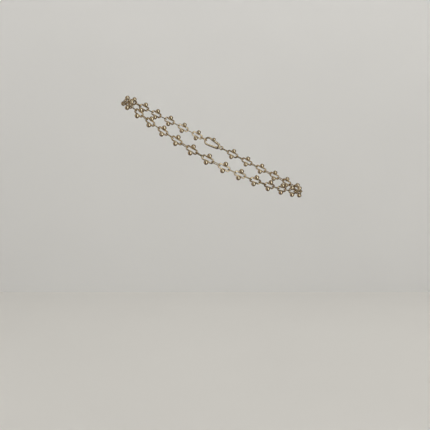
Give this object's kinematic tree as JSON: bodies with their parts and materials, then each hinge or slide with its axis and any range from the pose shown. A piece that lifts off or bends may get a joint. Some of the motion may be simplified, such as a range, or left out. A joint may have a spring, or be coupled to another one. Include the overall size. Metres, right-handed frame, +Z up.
{
  "type": "chain anklet",
  "caption": "Fine chain anklet of oval wire rings with soldered balls, joined by small oval links and closed by a claw clasp, in its worn form.",
  "frame": {"origin": "middle of the ankle that the closed chain goes round", "axes": "+Z up along the leg, +X along the loop's longest way towards its lower end, +Y away from the side seen in the picture"},
  "size_m": [0.0832, 0.0597, 0.0464],
  "materials": {
    "ball_rings": "polished pale gold plate",
    "links": "polished pale gold plate",
    "jump_ring": "polished pale gold plate",
    "clasp": "polished pale gold plate"
  },
  "bodies": {
    "root": {"ball_ring_01": "ball_rings", "ball_ring_02": "ball_rings", "ball_ring_03": "ball_rings", "ball_ring_04": "ball_rings", "ball_ring_05": "ball_rings", "ball_ring_06": "ball_rings", "ball_ring_07": "ball_rings", "ball_ring_08": "ball_rings", "ball_ring_09": "ball_rings", "ball_ring_10": "ball_rings", "ball_ring_11": "ball_rings", "ball_ring_12": "ball_rings", "ball_ring_13": "ball_rings", "ball_ring_14": "ball_rings", "ball_ring_15": "ball_rings", "ball_ring_16": "ball_rings", "ball_ring_17": "ball_rings", "ball_ring_18": "ball_rings", "ball_ring_19": "ball_rings", "ball_ring_20": "ball_rings", "ball_ring_21": "ball_rings", "ball_ring_22": "ball_rings", "ball_ring_23": "ball_rings", "ball_ring_24": "ball_rings", "ball_ring_25": "ball_rings", "ball_ring_26": "ball_rings", "ball_ring_27": "ball_rings", "link_01": "links", "link_02": "links", "link_03": "links", "link_04": "links", "link_05": "links", "link_06": "links", "link_07": "links", "link_08": "links", "link_09": "links", "link_10": "links", "link_11": "links", "link_12": "links", "link_13": "links", "link_14": "links", "link_15": "links", "link_16": "links", "link_17": "links", "link_18": "links", "link_19": "links", "link_20": "links", "link_21": "links", "link_22": "links", "link_23": "links", "link_24": "links", "link_25": "links", "link_26": "links", "link_27": "links", "jump_ring": "jump_ring", "clasp": "clasp"}
  },
  "joints": []
}
